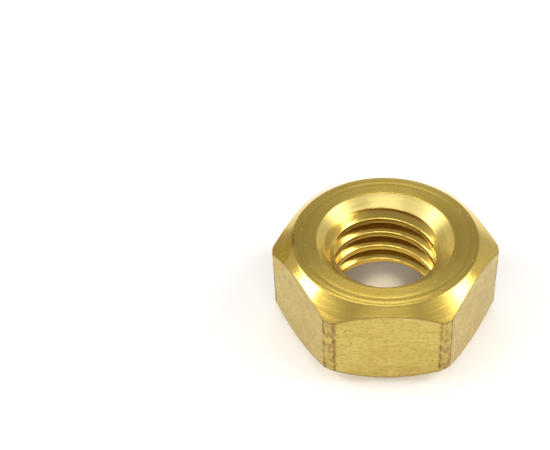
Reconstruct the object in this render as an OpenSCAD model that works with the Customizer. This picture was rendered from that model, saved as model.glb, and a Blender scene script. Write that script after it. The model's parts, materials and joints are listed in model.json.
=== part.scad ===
// Brass hexagon full nut, M8 x 1.25.
// Frame: origin at the centre of the lower bearing face, +Z along the thread,
// corners on the X axis and flats facing +Y and -Y. All lengths are in millimetres.

/* [Hexagon] */
// Width across the flats, the spanner size
across_flats = 13; // [12.5:0.5:17]
// Height between the two bearing faces
height = 6.5; // [5:0.5:10]
// How far each sharp corner of the bar is turned down
corner_trim = 0.18; // [0.02:0.02:0.3]

/* [Chamfers] */
// Width of the chamfer at the middle of a flat, seen from above
chamfer_width = 0.525; // [0.2:0.025:0.8]
// Slope of the chamfer down from the bearing face, in degrees
chamfer_angle = 38; // [15:1:45]

/* [Thread] */
// Nominal diameter, at the roots of the thread in the nut
thread_d = 8; // [7:0.5:8]
// Distance from one turn to the next
pitch = 1.25; // [0.75:0.25:1.25]

/* [Countersinks] */
// How far each countersink's mouth stands outside the nominal thread
countersink_margin = 0.45; // [0.1:0.05:0.8]
// Full angle of the countersink cone, in degrees
countersink_angle = 90; // [80:5:120]

/* [Hidden] */
$fn = 180;

brass = [0.83, 0.70, 0.37];

// Outline of the hexagon and of the turned envelope
sharp_corner_r = across_flats / sqrt(3);
corner_r = sharp_corner_r - corner_trim;
face_r = across_flats / 2 - chamfer_width;
chamfer_drop = (corner_r - face_r) * tan(chamfer_angle);

// ISO metric thread: 60 degree flanks, root flat P/8 wide, crest flat P/4 wide
flank_angle = 30;
major_r = thread_d / 2;
thread_depth = 5 / 8 * pitch * sqrt(3) / 2;
minor_r = major_r - thread_depth;
root_half = pitch / 16;
mouth_half = root_half + thread_depth * tan(flank_angle);
turns_each_way = ceil(height / 2 / pitch) - 1;

// Countersinks
countersink_r = major_r + countersink_margin;
countersink_slope = 1 / tan(countersink_angle / 2);
countersink_depth = (countersink_r - minor_r) * countersink_slope;

// Extra length that carries a cut clear of the surface it starts from
overrun = 0.4;

// Hexagonal bar with a sharp corner on the +X axis
module hexagon_bar() {
    cylinder(h = height, r = sharp_corner_r, $fn = 6);
}

// What the lathe leaves: both chamfer cones and the turned-down corners
module turned_envelope() {
    rotate_extrude()
        polygon([
            [0, 0],
            [face_r, 0],
            [corner_r, chamfer_drop],
            [corner_r, height - chamfer_drop],
            [face_r, height],
            [0, height]
        ]);
}

// Hole at the crests of the thread
module bore() {
    translate([0, 0, -overrun])
        cylinder(h = height + 2 * overrun, r = minor_r);
}

// Cone at the lower end, wide end down
module countersink() {
    translate([0, 0, -overrun])
        cylinder(
            h = countersink_depth + overrun,
            r1 = countersink_r + overrun / countersink_slope,
            r2 = minor_r
        );
}

// One turn of the thread groove, with its true section, as a closed ring
module thread_groove() {
    rotate_extrude()
        polygon([
            [minor_r - overrun, -mouth_half],
            [minor_r, -mouth_half],
            [major_r, -root_half],
            [major_r, root_half],
            [minor_r, mouth_half],
            [minor_r - overrun, mouth_half]
        ]);
}

module hex_nut() {
    color(brass)
        difference() {
            intersection() {
                hexagon_bar();
                turned_envelope();
            }
            bore();
            countersink();
            translate([0, 0, height])
                mirror([0, 0, 1])
                    countersink();
            for (turn = [-turns_each_way : turns_each_way])
                translate([0, 0, height / 2 + turn * pitch])
                    thread_groove();
        }
}

hex_nut();
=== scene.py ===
"""A brass hexagon nut: fine mesh, materials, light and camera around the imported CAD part.

Lengths in this file are millimetres, as on a drawing. MM turns them into metres where an object is made.
"""
import json
import math

import bpy
import numpy as np
from mathutils import Matrix, Vector, noise


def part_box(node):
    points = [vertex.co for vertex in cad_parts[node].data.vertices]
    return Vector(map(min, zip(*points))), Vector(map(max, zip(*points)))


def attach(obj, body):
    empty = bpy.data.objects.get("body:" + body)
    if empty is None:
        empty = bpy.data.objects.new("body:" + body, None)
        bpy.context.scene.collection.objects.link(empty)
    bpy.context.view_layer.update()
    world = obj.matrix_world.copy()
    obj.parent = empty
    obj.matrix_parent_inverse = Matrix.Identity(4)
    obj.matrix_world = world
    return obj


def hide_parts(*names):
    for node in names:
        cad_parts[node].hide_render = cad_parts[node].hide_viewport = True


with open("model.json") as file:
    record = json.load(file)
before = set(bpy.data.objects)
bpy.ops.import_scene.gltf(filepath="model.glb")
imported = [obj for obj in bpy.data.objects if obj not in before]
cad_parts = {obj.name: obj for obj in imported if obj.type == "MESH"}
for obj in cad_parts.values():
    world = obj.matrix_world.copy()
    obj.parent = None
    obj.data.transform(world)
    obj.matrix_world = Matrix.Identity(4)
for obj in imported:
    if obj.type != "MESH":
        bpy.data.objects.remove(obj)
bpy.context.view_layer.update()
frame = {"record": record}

MM = 0.001

# ---------------------------------------------------------------- sizes from the frame
box_low, box_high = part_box("hex_nut")
HEIGHT = box_high.z / MM
FLAT_R = box_high.y / MM
CORNER_R = min(box_high.x, -box_low.x) / MM
mounts = {m["name"]: m for m in frame["record"]["mounts"]}
CREST_R = mounts["thread"]["dims"]["r_mm"]

# ---------------------------------------------------------------- sizes of the turned features
FACE_R = FLAT_R - 0.525
CHAMFER_SLOPE = math.tan(math.radians(38))
MOUTH_R = 4.45
CONE_DEPTH = MOUTH_R - CREST_R
ROOT_R = 4.0
PITCH = 1.25
GROOVE_AT_ZERO = 0.29       # height at which a groove's middle crosses the +X axis
FLANK = math.radians(30)    # between a flank and a level plane
CREST_WIDTH = 0.38
GROOVE_HALF = (PITCH - CREST_WIDTH) / 2
ROOT_HALF = GROOVE_HALF - (ROOT_R - CREST_R) * math.tan(FLANK)
CREST_BEVEL = 0.045         # how far up each flank the worn edge of the crest reaches
CREST_BEVEL_ANGLE = math.radians(48)    # between that worn edge and a level plane

# radii that break the edges
FACE_EDGE = 0.22
FLAT_EDGE = 0.03
MOUTH_EDGE = 0.12
CREST_EDGE = 0.05
BEVEL_EDGE = 0.10
ROOT_FILLET = 0.07
CORNER_BLEND = 0.04

# rows of faces along each stretch of the section, and columns of them round the nut
FACE_ROWS = 26
CHAMFER_ROWS = 10
FLAT_ROWS = 18
CONE_ROWS = 14
FLANK_ROWS = 3
ARC_STEPS = 4
THREAD_ARC_STEPS = 2
CORNER_COLUMNS = 18
FLAT_COLUMNS = 40
CORNER_SPAN = math.radians(3.6)     # the close columns reach this far to each side of a corner
EDGE_MARGIN = 0.012                 # from an edge to the extra row that keeps the stretch beside it flat
MERGE_GAP = 0.004                   # points of the bore's section closer than this become one
OFF_CONE = 0.004                    # a face of the bore this far outside the cone is the thread's
SHARP_ANGLE = math.radians(33)      # an edge sharper than this isn't smoothed in shading

FLATS, CHAMFER, FACE, COUNTERSINK, THREAD = range(5)


# ---------------------------------------------------------------- plane outlines
def rounded_corner(before, corner, after, radius, steps=ARC_STEPS):
    """Points of the arc that rounds one corner of a line, from its first side to its second."""
    b = Vector(corner)
    u = (Vector(before) - b).normalized()
    v = (Vector(after) - b).normalized()
    half = math.acos(max(-1.0, min(1.0, u.dot(v)))) / 2
    centre = b + (u + v).normalized() * radius / math.sin(half)
    start = b + u * radius / math.tan(half) - centre
    end = b + v * radius / math.tan(half) - centre
    turn = math.pi - 2 * half
    points = []
    for i in range(steps + 1):
        t = i / steps
        arm = (start * math.sin((1 - t) * turn) + end * math.sin(t * turn)) / math.sin(turn)
        points.append(tuple(centre + arm))
    return points


def between(a, b, rows):
    """Evenly spaced points strictly between a and b."""
    return [tuple(Vector(a).lerp(Vector(b), i / rows)) for i in range(1, rows)]


def held_flat(a, b, rows):
    """As between, with one more point close to each end, which keeps the shading flat up to the edges."""
    margin = EDGE_MARGIN / (Vector(b) - Vector(a)).length
    start = tuple(Vector(a).lerp(Vector(b), margin))
    end = tuple(Vector(b).lerp(Vector(a), margin))
    return [start] + between(a, b, rows) + [end]


def side_radius(angle):
    """Distance from the axis to the side of the nut: flats, with corners turned to a cylinder."""
    from_flat = angle % (math.pi / 3) - math.pi / 6
    flat = FLAT_R / math.cos(from_flat)
    blend = max(CORNER_BLEND - abs(flat - CORNER_R), 0.0) ** 2 / (4 * CORNER_BLEND)
    return min(flat, CORNER_R) - blend


def column_angles():
    """Angles of the mesh's columns: close together round each corner, wider across each flat."""
    side_span = math.pi / 3
    fine = np.linspace(-CORNER_SPAN, CORNER_SPAN, CORNER_COLUMNS, endpoint=False)
    wide = np.linspace(CORNER_SPAN, side_span - CORNER_SPAN, FLAT_COLUMNS, endpoint=False)
    one_side = np.concatenate([fine, wide])
    return [float(a + side * side_span) for side in range(6) for a in one_side]


# ---------------------------------------------------------------- relief left by the tools
FEED_STEP = 0.21
FEED_DEPTH = 0.0007
CHATTER_STEP = 0.47
CHATTER_DEPTH = 0.0055
CHATTER_FROM = 4.9          # radius where the chatter starts
CHATTER_TOP = 0.39          # from the rim of the face in to the outermost ring that stands full height

KNOCK_DEPTH = 0.05
KNOCK_OVER = 0.05           # noise value above which there is a knock
KNOCK_OFF_CORNER = 2.5      # degrees from a corner to each of the two edges that carry its knocks
KNOCK_HALF_WIDTH = 1.4      # degrees
KNOCK_PLACE = (7.3, 1.6, 60)    # noise features per corner, per mm of height and per radian
KNOCK_REACH = 2.15          # no knocks farther than this above or below the middle
KNOCK_FADE = 0.3


def turned_relief(r):
    """Depth of the marks at one radius on a turned surface: feed marks, and chatter on the face's rim."""
    feed = FEED_DEPTH * (1 - math.cos(2 * math.pi * r / FEED_STEP))
    share = max(0.0, min(1.0, (r - CHATTER_FROM) / CHATTER_STEP))
    if r > FACE_R:
        share = 0.0
    chatter = CHATTER_DEPTH * (1 - math.cos(2 * math.pi * (r - FACE_R + CHATTER_TOP) / CHATTER_STEP))
    return feed + share * chatter


def edge_dents(angle, z):
    """Depth of the knocks along the nut's six upright corners."""
    side = (angle + math.pi / 6) % (math.pi / 3) - math.pi / 6
    off_edge = abs(abs(math.degrees(side)) - KNOCK_OFF_CORNER)
    near = max(0.0, 1 - off_edge / KNOCK_HALF_WIDTH)
    corner = round(angle / (math.pi / 3)) % 6
    place = [x * features for x, features in zip((corner, z, side), KNOCK_PLACE)]
    knock = noise.noise(Vector(place))
    from_end = max(0.0, min(1.0, (KNOCK_REACH - abs(z - HEIGHT / 2)) / KNOCK_FADE))
    return KNOCK_DEPTH * near * from_end * max(knock - KNOCK_OVER, 0.0)


# ---------------------------------------------------------------- the nut's section, column by column
def outer_section(angle):
    """The section's outside at one angle, from the upper mouth to the lower one, as (r, z, slot).

    A point's slot is the material of the face that runs from it to the next point.
    """
    r = side_radius(angle)
    drop = (r - FACE_R) * CHAMFER_SLOPE
    mouth = (MOUTH_R, HEIGHT)
    rim = (FACE_R, HEIGHT)
    shoulder = (r, HEIGHT - drop)
    foot = (r, drop)
    in_cone = (MOUTH_R - 1, HEIGHT - 1)
    mouth_arc = rounded_corner(in_cone, mouth, rim, MOUTH_EDGE)
    rim_arc = rounded_corner(mouth, rim, shoulder, FACE_EDGE)
    shoulder_arc = rounded_corner(rim, shoulder, foot, FLAT_EDGE)
    upper = [(*p, FACE) for p in mouth_arc]
    upper += [(*p, FACE) for p in held_flat(mouth_arc[-1], rim_arc[0], FACE_ROWS)]
    upper += [(*p, FACE) for p in rim_arc[:-1]]
    upper.append((*rim_arc[-1], CHAMFER))
    upper += [(*p, CHAMFER) for p in held_flat(rim_arc[-1], shoulder_arc[0], CHAMFER_ROWS)]
    upper += [(*p, FLATS) for p in shoulder_arc]
    mirrored = [(r, HEIGHT - z) for r, z, slot in upper][::-1]
    slots = [slot for r, z, slot in upper][-2::-1] + [FACE]
    middle = [(*p, FLATS) for p in held_flat(shoulder_arc[-1], mirrored[0], FLAT_ROWS)]
    return upper + middle + [(*p, slot) for p, slot in zip(mirrored, slots)]


def thread_line():
    """One turn of the thread's section, from crest to crest, as (height from the groove's middle, r)."""
    up_flank = Vector((math.sin(FLANK), math.cos(FLANK))) * CREST_BEVEL
    bevel_end = (-GROOVE_HALF + up_flank.x, CREST_R + up_flank.y)
    bevel_start = (bevel_end[0] - up_flank.y * math.tan(CREST_BEVEL_ANGLE), CREST_R)
    corners = [(-PITCH / 2, CREST_R), bevel_start, bevel_end, (-ROOT_HALF, ROOT_R), (0, ROOT_R)]
    half = [corners[0]]
    for i, radius in ((1, CREST_EDGE), (2, BEVEL_EDGE), (3, ROOT_FILLET)):
        arc = rounded_corner(corners[i - 1], corners[i], corners[i + 1], radius, THREAD_ARC_STEPS)
        if i == 3:
            half += between(half[-1], arc[0], FLANK_ROWS)
        half += arc
    return half + [(-z, r) for z, r in half[::-1]][:-1]


def inner_section(angle):
    """The bore's side at one angle, from the lower mouth to the upper one, as (r, z)."""
    groove = GROOVE_AT_ZERO + PITCH * angle / (2 * math.pi)
    turn = thread_line()
    first = math.floor(-groove / PITCH) - 1
    last = math.ceil((HEIGHT - groove) / PITCH) + 1
    line = [(z + groove + k * PITCH, r) for k in range(first, last + 1) for z, r in turn]
    line_z = np.array([p[0] for p in line])
    line_r = np.array([p[1] for p in line])
    mouth_z = MOUTH_EDGE * math.tan(math.pi / 8) * math.sqrt(0.5)   # where the mouth's rounding ends
    lower = np.linspace(mouth_z, CONE_DEPTH, CONE_ROWS + 1)
    rows = np.concatenate([lower, HEIGHT - lower])

    def cone(z):
        return CREST_R + CONE_DEPTH - np.minimum(z, HEIGHT - z)

    def thread(z):
        return np.interp(z, line_z, line_r)

    inside = line_z[(line_z > mouth_z) & (line_z < HEIGHT - mouth_z)]
    heights = np.unique(np.concatenate([inside, rows]))
    ahead = thread(heights) - cone(heights)
    keep = [(float(z), 0) for z in inside if thread(z) >= cone(z)]
    keep += [(float(z), 0) for z in rows if cone(z) > thread(z)]
    for i in range(len(heights) - 1):
        if ahead[i] * ahead[i + 1] < 0:
            share = ahead[i] / (ahead[i] - ahead[i + 1])
            keep.append((float(heights[i] + share * (heights[i + 1] - heights[i])), 1))
    points = []
    for z, crossing in sorted(keep):
        if points and z - points[-1][1] < MERGE_GAP:
            if not crossing:
                continue
            if len(points) > 1:
                points.pop()
        points.append((float(max(thread(z), cone(z))), z))
    return points


# ---------------------------------------------------------------- the mesh
def zip_columns(low, high, verts):
    """Triangles between two neighbouring columns, each a list of vertex numbers from bottom to top."""
    faces = []
    i = j = 0
    while i < len(low) - 1 or j < len(high) - 1:
        if j == len(high) - 1:
            step_low = True
        elif i == len(low) - 1:
            step_low = False
        else:
            rising = (verts[low[i + 1]] - verts[high[j]]).length
            falling = (verts[low[i]] - verts[high[j + 1]]).length
            step_low = rising < falling
        if step_low:
            faces.append((low[i], low[i + 1], high[j]))
            i += 1
        else:
            faces.append((low[i], high[j + 1], high[j]))
            j += 1
    return faces


def build_nut():
    """The whole nut as one closed mesh: a section at each angle, joined to its neighbours."""
    verts, outer, inner = [], [], []
    for angle in column_angles():
        c, s = math.cos(angle), math.sin(angle)
        section = outer_section(angle)
        column = []
        for r, z, slot in section:
            if slot == FLATS:
                r -= edge_dents(angle, z)
            depth = turned_relief(r) if slot in (FACE, CHAMFER) else 0.0
            z += -depth if z > HEIGHT / 2 else depth
            column.append(len(verts))
            verts.append(Vector((r * c, r * s, z)))
        outer.append(column)
        bore = [column[-1]]
        for r, z in inner_section(angle)[1:-1]:
            bore.append(len(verts))
            verts.append(Vector((r * c, r * s, z)))
        inner.append(bore + [column[0]])

    slot_rows = [slot for r, z, slot in section]    # the same for every column
    faces, slots = [], []
    for k in range(len(outer)):
        here, there = outer[k], outer[(k + 1) % len(outer)]
        for i in range(len(here) - 1):
            faces.append((here[i], here[i + 1], there[i + 1], there[i]))
            slots.append(slot_rows[i])
        for face in zip_columns(inner[k], inner[(k + 1) % len(inner)], verts):
            middle = sum((verts[v] for v in face), Vector()) / 3
            cone = CREST_R + CONE_DEPTH - min(middle.z, HEIGHT - middle.z)
            faces.append(face)
            slots.append(THREAD if middle.xy.length > cone + OFF_CONE else COUNTERSINK)

    mesh = bpy.data.meshes.new("hex_nut_visual")
    mesh.from_pydata([v * MM for v in verts], [], faces)
    mesh.polygons.foreach_set("material_index", slots)
    mesh.polygons.foreach_set("use_smooth", [True] * len(faces))
    mesh.set_sharp_from_angle(angle=SHARP_ANGLE)
    mesh.validate()
    nut = bpy.data.objects.new("nut_body", mesh)
    bpy.context.scene.collection.objects.link(nut)
    return nut


# ---------------------------------------------------------------- materials
BRASS = (0.74, 0.52, 0.10)
PALE_BRASS = (0.78, 0.57, 0.135)
CLEAN_BRASS = (0.68, 0.54, 0.16)
PALE_CLEAN_BRASS = (0.70, 0.56, 0.18)
DULL_BRASS = (0.555, 0.41, 0.09)
PALE_DULL_BRASS = (0.64, 0.49, 0.13)
DARK_DULL_BRASS = (0.34, 0.22, 0.045)
OLIVE = (0.50, 0.35, 0.062)
NICK_BRASS = (0.95, 0.80, 0.40)
BROWN_BRASS = (0.60, 0.37, 0.02)
TARNISH = (0.50, 0.27, 0.035)
OXIDE = (0.22, 0.11, 0.021)

MICROMETRE = 0.001
STAIN_DROP = 0.8            # from the end face down to the middle of the stain at one corner


class Nodes:
    """Adds nodes to a tree. A value is a number, a colour or another node's output."""

    def __init__(self, tree):
        self.tree = tree

    def add(self, kind, inputs=None, **settings):
        node = self.tree.nodes.new("ShaderNode" + kind)
        for name, value in settings.items():
            setattr(node, name, value)
        for name, value in (inputs or {}).items():
            self.plug(node.inputs[name], value)
        return node

    def plug(self, socket, value):
        if isinstance(value, bpy.types.NodeSocket):
            self.tree.links.new(value, socket)
        elif socket.type == "RGBA":
            socket.default_value = (*value, 1)
        else:
            socket.default_value = value

    def vector(self, operation, a, b=(0, 0, 0), **more):
        return self.add("VectorMath", {0: a, 1: b, **more}, operation=operation).outputs[0]

    def length(self, vector):
        return self.add("VectorMath", {0: vector}, operation="LENGTH").outputs["Value"]

    def math(self, operation, a, b=0.0):
        return self.add("Math", {0: a, 1: b}, operation=operation).outputs[0]

    def sum_of(self, *terms):
        """The sum of (amount, value) terms."""
        total = 0.0
        for amount, value in terms:
            total = self.math("ADD", total, self.math("MULTIPLY", value, amount))
        return total

    def fade(self, value, start, end, first=0.0, last=1.0):
        """Goes from first to last as value goes from start to end, and holds at both ends."""
        ends = {"From Min": start, "From Max": end, "To Min": first, "To Max": last}
        return self.add("MapRange", {"Value": value, **ends}).outputs["Result"]

    def near(self, value, middle, half_width):
        """A soft band: 1 where value is at middle, 0 from half_width away."""
        off = self.math("ABSOLUTE", self.math("SUBTRACT", value, middle))
        return self.fade(off, half_width, 0.0)

    def mix(self, factor, a, b):
        node = self.add("Mix", data_type="RGBA")
        self.plug(node.inputs[0], factor)
        self.plug(node.inputs[6], a)
        self.plug(node.inputs[7], b)
        return node.outputs[2]


class Finish(Nodes):
    """The nodes of one surface's material, a metal unless its Metallic is set back."""

    def __init__(self, name):
        self.material = bpy.data.materials.new(name)
        self.material.use_nodes = True
        super().__init__(self.material.node_tree)
        self.shader = self.tree.nodes["Principled BSDF"]
        self.shader.inputs["Metallic"].default_value = 1.0
        metres = self.add("TexCoord").outputs["Object"]
        self.point = self.vector("SCALE", metres, Scale=1 / MM)
        self.height = self.add("SeparateXYZ", {0: self.point}).outputs["Z"]
        level = self.vector("MULTIPLY", self.point, (1, 1, 0))
        self.radius = self.length(level)
        self.around = self.vector("NORMALIZE", level)

    def noise(self, stretch, detail=3.0, roughness=0.55, seed=0.0):
        """Cloudy noise from 0 to 1, with stretch as its features per millimetre along x, y and z."""
        moved = self.vector("ADD", self.point, (seed, seed, seed))
        place = self.vector("MULTIPLY", moved, stretch)
        inputs = {"Vector": place, "Scale": 1.0, "Detail": detail, "Roughness": roughness}
        return self.add("TexNoise", inputs).outputs["Fac"]

    def rings(self, per_mm, drift, detail=2.0, seed=0.0):
        """Marks of a lathe tool: noise that changes quickly along the radius and slowly round the axis."""
        outward = self.math("MULTIPLY", self.radius, per_mm)
        drifting = self.vector("SCALE", self.around, Scale=drift)
        place = self.vector("ADD", drifting, self.add("CombineXYZ", {"Z": outward}).outputs[0])
        place = self.vector("ADD", place, (0, 0, seed))
        inputs = {"Vector": place, "Scale": 1.0, "Detail": detail, "Roughness": 0.6}
        return self.add("TexNoise", inputs).outputs["Fac"]

    def specks(self, per_mm, share, size, seed=0.0):
        """Scattered spots: 1 inside one and 0 outside. share is the part of the cells that hold one."""
        moved = self.vector("ADD", self.point, (seed, seed, seed))
        cells = self.add("TexVoronoi", {"Vector": moved, "Scale": per_mm})
        spot = self.fade(cells.outputs["Distance"], size, size * 0.5)
        chance = self.add("SeparateColor", {0: cells.outputs["Color"]}).outputs[0]
        return self.math("MULTIPLY", spot, self.math("LESS_THAN", chance, share))

    def brown_corner(self):
        """The stain at the upper end of one corner: streaky, with a ragged border."""
        middle = (-CORNER_R, 0, HEIGHT - STAIN_DROP)
        away = self.length(self.vector("SUBTRACT", self.point, middle))
        ragged = self.sum_of((1, away), (1.6, self.noise((1.3, 1.3, 1.3), 4, 0.65, seed=12)))
        inside = self.fade(ragged, 2.35, 2.75, 1.0, 0.0)
        streaks = self.fade(self.noise((3, 3, 3), 3, 0.6, seed=19), 0.35, 0.55, 0.5, 1.0)
        return self.math("MULTIPLY", inside, streaks)

    def oil(self, weight, roughness):
        """A thin clear film of oil over the surface."""
        self.shader.inputs["Coat Weight"].default_value = weight
        self.shader.inputs["Coat Roughness"].default_value = roughness

    def grain(self, amount):
        """Brushed reflections that spread across the tool's marks, outward from the nut's axis."""
        self.shader.inputs["Anisotropic"].default_value = amount
        self.shader.inputs["Anisotropic Rotation"].default_value = 0.25
        tangent = self.add("Tangent", direction_type="RADIAL", axis="Z")
        self.plug(self.shader.inputs["Tangent"], tangent.outputs["Tangent"])

    def finish(self, color, roughness, relief_um):
        """Sets the surface's colour, its roughness, and its relief in micrometres."""
        bump = self.add("Bump", {"Strength": 1.0, "Distance": MICROMETRE * MM, "Height": relief_um})
        self.plug(self.shader.inputs["Base Color"], color)
        self.plug(self.shader.inputs["Roughness"], roughness)
        self.plug(self.shader.inputs["Normal"], bump.outputs["Normal"])
        return self.material


def drawn_flats():
    """The bar's own sides: satin under a film of oil, scratched, pitted, brown at the corners."""
    f = Finish("drawn_flats")
    f.oil(0.3, 0.35)
    clouds = f.noise((0.7, 0.7, 1.0), 4)
    mottle = f.noise((3.2, 3.2, 4.5), 4, 0.65, seed=9)
    scratches = f.noise((0.5, 0.5, 17), 3, 0.6, seed=3)
    long_marks = f.fade(scratches, 0.54, 0.66)
    patchy = f.fade(f.noise((1.1, 1.1, 1.6), 2, seed=21), 0.42, 0.6)
    pits = f.specks(2.6, 0.4, 0.19)
    fine_pits = f.specks(5.5, 0.22, 0.2, seed=13)
    beside_corner = f.fade(f.radius, CORNER_R - 0.12, CORNER_R - 0.03)
    on_land = f.fade(f.radius, CORNER_R - 0.010, CORNER_R - 0.003, 1.0, 0.65)
    blotch = f.fade(f.noise((3.4, 3.4, 2.2), 4, 0.65, seed=5), 0.47, 0.56)
    stain = f.math("MULTIPLY", f.math("MULTIPLY", beside_corner, on_land), blotch)
    broken = f.fade(f.noise((0.6, 0.6, 1.7), 3, 0.7, seed=17), 0.40, 0.52)
    line = f.math("MULTIPLY", f.near(f.radius, CORNER_R - 0.04, 0.045), broken)
    # painted shade: a band along the flats' top and bottom edges by the chamfers, darkened toward OXIDE
    # and made rougher
    from_middle = f.math("ABSOLUTE", f.math("SUBTRACT", f.height, HEIGHT / 2))
    edge_height = f.sum_of((1, HEIGHT / 2 + FACE_R * CHAMFER_SLOPE), (-CHAMFER_SLOPE, f.radius))
    below_chamfer = f.sum_of((1, edge_height), (-1, from_middle), (0.12, mottle))
    edge = f.fade(below_chamfer, 0.11, 0.17, 1.0, 0.0)
    color = f.mix(f.fade(clouds, 0.35, 0.65), DULL_BRASS, PALE_DULL_BRASS)
    color = f.mix(f.fade(mottle, 0.42, 0.72, 0.0, 0.55), color, DARK_DULL_BRASS)
    color = f.mix(f.math("MULTIPLY", f.math("MULTIPLY", long_marks, patchy), 0.5), color, OXIDE)
    color = f.mix(f.math("MULTIPLY", line, 0.9), color, OXIDE)
    # painted shade along the flats' edges by the chamfers
    color = f.mix(f.math("MULTIPLY", edge, 0.55), color, OXIDE)
    color = f.mix(f.math("MULTIPLY", fine_pits, 0.45), color, OXIDE)
    color = f.mix(f.math("MULTIPLY", pits, 0.85), color, OXIDE)
    color = f.mix(f.math("MULTIPLY", stain, 0.8), color, OXIDE)
    color = f.mix(f.math("MULTIPLY", f.brown_corner(), 0.4), color, BROWN_BRASS)
    roughness = f.sum_of((1, 0.30), (0.14, mottle), (0.06, clouds), (0.15, stain), (0.25, edge))
    relief = f.sum_of((14, mottle), (6, long_marks), (-14, pits), (-8, fine_pits), (-12, stain))
    return f.finish(color, roughness, relief)


def turned_chamfer():
    """The chamfers: the tool's fine rings, smooth and bright, with the stain at one corner."""
    f = Finish("turned_chamfer")
    f.oil(0.25, 0.15)
    f.grain(0.45)
    fine = f.rings(16, 1.2)
    broad = f.rings(3.5, 0.8, seed=7)
    clouds = f.noise((0.8, 0.8, 0.8), 3)
    specks = f.specks(3.0, 0.06, 0.12, seed=2)
    color = f.mix(f.fade(clouds, 0.35, 0.7, 0.0, 0.5), BRASS, PALE_BRASS)
    color = f.mix(f.fade(broad, 0.45, 0.75, 0.0, 0.3), color, OLIVE)
    color = f.mix(f.math("MULTIPLY", specks, 0.5), color, OXIDE)
    color = f.mix(f.brown_corner(), color, BROWN_BRASS)
    roughness = f.sum_of((1, 0.12), (0.05, fine), (0.05, broad))
    relief = f.sum_of((2.4, fine), (5, broad), (-6, specks))
    return f.finish(color, roughness, relief)


def turned_face():
    """The end faces: the facing tool's rings, slightly olive, nicked, with painted shade on the rim by the
    stain.
    """
    f = Finish("turned_face")
    f.grain(0.7)
    fine = f.rings(14, 1.0)
    broad = f.rings(3.2, 0.7, seed=5)
    clouds = f.noise((0.7, 0.7, 0.7), 4, seed=1)
    mottle = f.noise((7, 7, 7), 2, seed=8)
    nicks = f.specks(4.5, 0.10, 0.22, seed=9)
    color = f.mix(f.fade(clouds, 0.35, 0.7), BRASS, PALE_BRASS)
    color = f.mix(f.fade(broad, 0.42, 0.72, 0.0, 0.35), color, OLIVE)
    color = f.mix(f.fade(mottle, 0.4, 0.8, 0.0, 0.25), color, OLIVE)
    color = f.mix(f.math("MULTIPLY", nicks, 0.8), color, NICK_BRASS)
    # painted shade: a dark band on the face's rim where the brown corner stain is, mixed toward OXIDE
    painted_rim_shade = f.math("MULTIPLY", f.near(f.radius, FACE_R - 0.06, 0.2), f.brown_corner())
    color = f.mix(f.math("MULTIPLY", painted_rim_shade, 0.85), color, OXIDE)
    roughness = f.sum_of((1, 0.22), (0.06, fine), (0.06, mottle), (0.2, nicks))
    relief = f.sum_of((1.5, fine), (4, broad), (1.5, mottle), (6, nicks))
    return f.finish(color, roughness, relief)


def turned_countersink():
    """The countersinks: close rings left by the countersink, clean and bright."""
    f = Finish("turned_countersink")
    f.oil(0.6, 0.25)
    f.grain(0.7)
    fine = f.rings(18, 1.5, seed=3)
    broad = f.rings(5, 1.0, seed=11)
    mottle = f.noise((6, 6, 6), 2, seed=6)
    color = f.mix(f.fade(mottle, 0.3, 0.7), CLEAN_BRASS, PALE_CLEAN_BRASS)
    color = f.mix(f.fade(broad, 0.45, 0.65, 0.0, 0.45), color, OLIVE)
    roughness = f.sum_of((1, 0.33), (0.10, fine), (0.04, mottle))
    relief = f.sum_of((3, fine), (6, broad))
    return f.finish(color, roughness, relief)


def cut_thread():
    """The thread: polished by the tap, marked along its turns, with tarnish down in the grooves."""
    f = Finish("cut_thread")
    along = f.noise((1.2, 1.2, 14), 3, seed=2)
    mottle = f.noise((4, 4, 4), 3, seed=7)
    specks = f.specks(4.0, 0.05, 0.14, seed=5)
    depth = f.fade(f.radius, CREST_R, ROOT_R)
    color = f.mix(f.fade(mottle, 0.3, 0.75), BRASS, PALE_BRASS)
    color = f.mix(f.math("MULTIPLY", depth, f.fade(mottle, 0.3, 0.8, 0.3, 0.8)), color, TARNISH)
    color = f.mix(f.math("MULTIPLY", specks, 0.7), color, OXIDE)
    roughness = f.sum_of((1, 0.12), (0.10, along), (0.05, depth))
    relief = f.sum_of((5, along), (2, mottle), (-6, specks))
    return f.finish(color, roughness, relief)


nut = build_nut()
for finish in (drawn_flats, turned_chamfer, turned_face, turned_countersink, cut_thread):
    nut.data.materials.append(finish())
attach(nut, "root")
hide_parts("hex_nut")


# ---------------------------------------------------------------- floor
FLOOR_SIZE = 1200
FLOOR_GAP = 0.02
PAPER = (0.95, 0.943, 0.93)
PAPER_SHADE = (0.93, 0.923, 0.91)


def white_paper():
    """Matt white paper with a faint grain."""
    f = Finish("white_paper")
    f.shader.inputs["Metallic"].default_value = 0.0
    fibres = f.noise((1.5, 1.5, 1.5), 3)
    color = f.mix(fibres, PAPER, PAPER_SHADE)
    return f.finish(color, f.fade(fibres, 0, 1, 0.85, 0.95), f.sum_of((4, fibres)))


def paper_floor():
    """A large sheet of paper, just under the nut."""
    mesh = bpy.data.meshes.new("floor")
    reach = FLOOR_SIZE / 2
    corners = [(-reach, -reach), (reach, -reach), (reach, reach), (-reach, reach)]
    mesh.from_pydata([Vector((x, y, -FLOOR_GAP)) * MM for x, y in corners], [], [(0, 1, 2, 3)])
    mesh.materials.append(white_paper())
    floor = bpy.data.objects.new("floor", mesh)
    bpy.context.scene.collection.objects.link(floor)


paper_floor()


# ---------------------------------------------------------------- light
SOFTBOX_DISTANCE = 400
SPOT_DISTANCE = 120
SPOT_COLOR = (1.0, 0.88, 0.64)
SPOT_LAMP_R = 0.4

# brightness of the walls as seen from the nut
WALLS = 0.36
SIDE_WALLS_MORE = 0.26
RIGHT_WALL_MORE = 0.12
FRONT_WALL_MORE = 0.03
LOW_FRONT_LESS = 0.4


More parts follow.
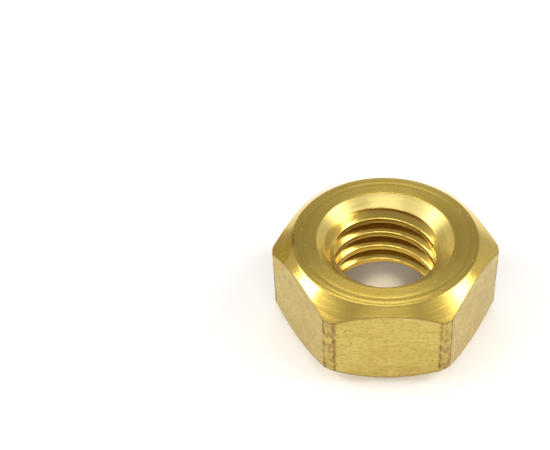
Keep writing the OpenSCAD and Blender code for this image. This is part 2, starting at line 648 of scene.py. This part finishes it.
def softbox(name, azimuth, elevation, width, height, brightness):
    """A soft panel aimed at the nut. Azimuth 0 is in front (-Y) and 90 to the right (+X).

    Its width and height are the angles in degrees that it fills, as seen from the nut.
    """
    distance = SOFTBOX_DISTANCE * MM
    data = bpy.data.lights.new(name, "AREA")
    data.shape = "RECTANGLE"
    data.size = 2 * distance * math.tan(math.radians(width / 2))
    data.size_y = 2 * distance * math.tan(math.radians(height / 2))
    data.energy = brightness * math.pi * data.size * data.size_y
    panel = bpy.data.objects.new(name, data)
    turn, rise = math.radians(azimuth), math.radians(elevation)
    level = math.cos(rise)
    way = Vector((math.sin(turn) * level, -math.cos(turn) * level, math.sin(rise)))
    panel.location = Vector((0, 0, HEIGHT * MM / 2)) + way * distance
    panel.rotation_euler = way.to_track_quat("Z", "Y").to_euler()
    panel.visible_camera = False
    bpy.context.scene.collection.objects.link(panel)


for box_name, azimuth, elevation, width, height, brightness in (
    ("far_left_softbox", -99, 37, 25, 13, 11.0),
    ("left_softbox", -50, 38, 42, 10, 3.6),
    ("front_softbox", 0, 43.5, 44, 12, 6.0),
    ("right_softbox", 52, 36, 42, 10, 3.1),
    ("far_right_softbox", 94, 41, 22, 22, 7.8),
    ("top_softbox", -168, 66, 29, 14, 3.4),
):
    softbox(box_name, azimuth, elevation, width, height, brightness)


def bore_spot(power, elevation, aim_y, radius):
    """A narrow spot from high in front that lights the paper seen through the hole."""
    distance = SPOT_DISTANCE * MM
    data = bpy.data.lights.new("bore_spot", "SPOT")
    data.energy = power
    data.color = SPOT_COLOR
    data.shadow_soft_size = SPOT_LAMP_R * MM
    data.spot_size = 2 * math.atan(radius * MM / distance)
    data.spot_blend = 1.0
    spot = bpy.data.objects.new("bore_spot", data)
    rise = math.radians(elevation)
    way = Vector((0, -math.cos(rise), math.sin(rise)))
    spot.location = Vector((0, aim_y * MM, 0)) + way * distance
    spot.rotation_euler = way.to_track_quat("Z", "Y").to_euler()
    spot.visible_camera = False
    bpy.context.scene.collection.objects.link(spot)


bore_spot(power=0.30, elevation=76, aim_y=1.6, radius=1.9)


def studio_world():
    """Pale walls: lighter at both sides, most at the right, dark low in front. The camera sees white."""
    world = bpy.data.worlds.new("studio")
    bpy.context.scene.world = world
    world.use_nodes = True
    n = Nodes(world.node_tree)
    way = n.add("SeparateXYZ", {0: n.add("TexCoord").outputs["Generated"]}).outputs
    side = n.fade(n.math("ABSOLUTE", way["X"]), 0.4, 0.9, 0.0, SIDE_WALLS_MORE)
    right = n.fade(way["X"], 0.2, 0.9, 0.0, RIGHT_WALL_MORE)
    front = n.fade(way["Y"], 0.2, -0.6, 0.0, FRONT_WALL_MORE)
    low_front = n.math("MULTIPLY", n.fade(way["Y"], -0.3, -0.8), n.fade(way["Z"], 0.5, 0.35))
    more = n.math("ADD", n.math("ADD", WALLS, side), n.math("ADD", right, front))
    walls = n.math("SUBTRACT", more, n.math("MULTIPLY", low_front, LOW_FRONT_LESS))
    seen = n.add("LightPath").outputs["Is Camera Ray"]
    background = n.tree.nodes["Background"]
    n.plug(background.inputs["Color"], (1, 1, 1))
    n.plug(background.inputs["Strength"], n.math("MAXIMUM", walls, seen))


studio_world()


# ---------------------------------------------------------------- camera
LENS = 75.5
SENSOR_WIDTH = 36
CAMERA_ELEVATION = 42.6
CAMERA_HEADING = 4.96
CAMERA_ROLL = 3.9
CAMERA_DISTANCE = 76.44
NUT_RIGHT_OF_VIEW = 7.24
NUT_BELOW_VIEW = 3.23


def make_camera():
    """Looks down at the nut, which sits to the right of the view's middle and below it."""
    data = bpy.data.cameras.new("camera")
    data.lens = LENS
    data.sensor_width = SENSOR_WIDTH
    data.clip_start = MM
    camera = bpy.data.objects.new("camera", data)
    bpy.context.scene.collection.objects.link(camera)
    turn = (
        Matrix.Rotation(math.radians(CAMERA_HEADING), 3, "Z")
        @ Matrix.Rotation(math.radians(90 - CAMERA_ELEVATION), 3, "X")
        @ Matrix.Rotation(math.radians(-CAMERA_ROLL), 3, "Z")
    )
    centre = Vector((0, 0, HEIGHT / 2))
    offset = turn @ Vector((-NUT_RIGHT_OF_VIEW, NUT_BELOW_VIEW, CAMERA_DISTANCE))
    camera.matrix_world = Matrix.Translation((centre + offset) * MM) @ turn.to_4x4()
    bpy.context.scene.camera = camera


make_camera()
bpy.context.scene.view_settings.view_transform = "Standard"
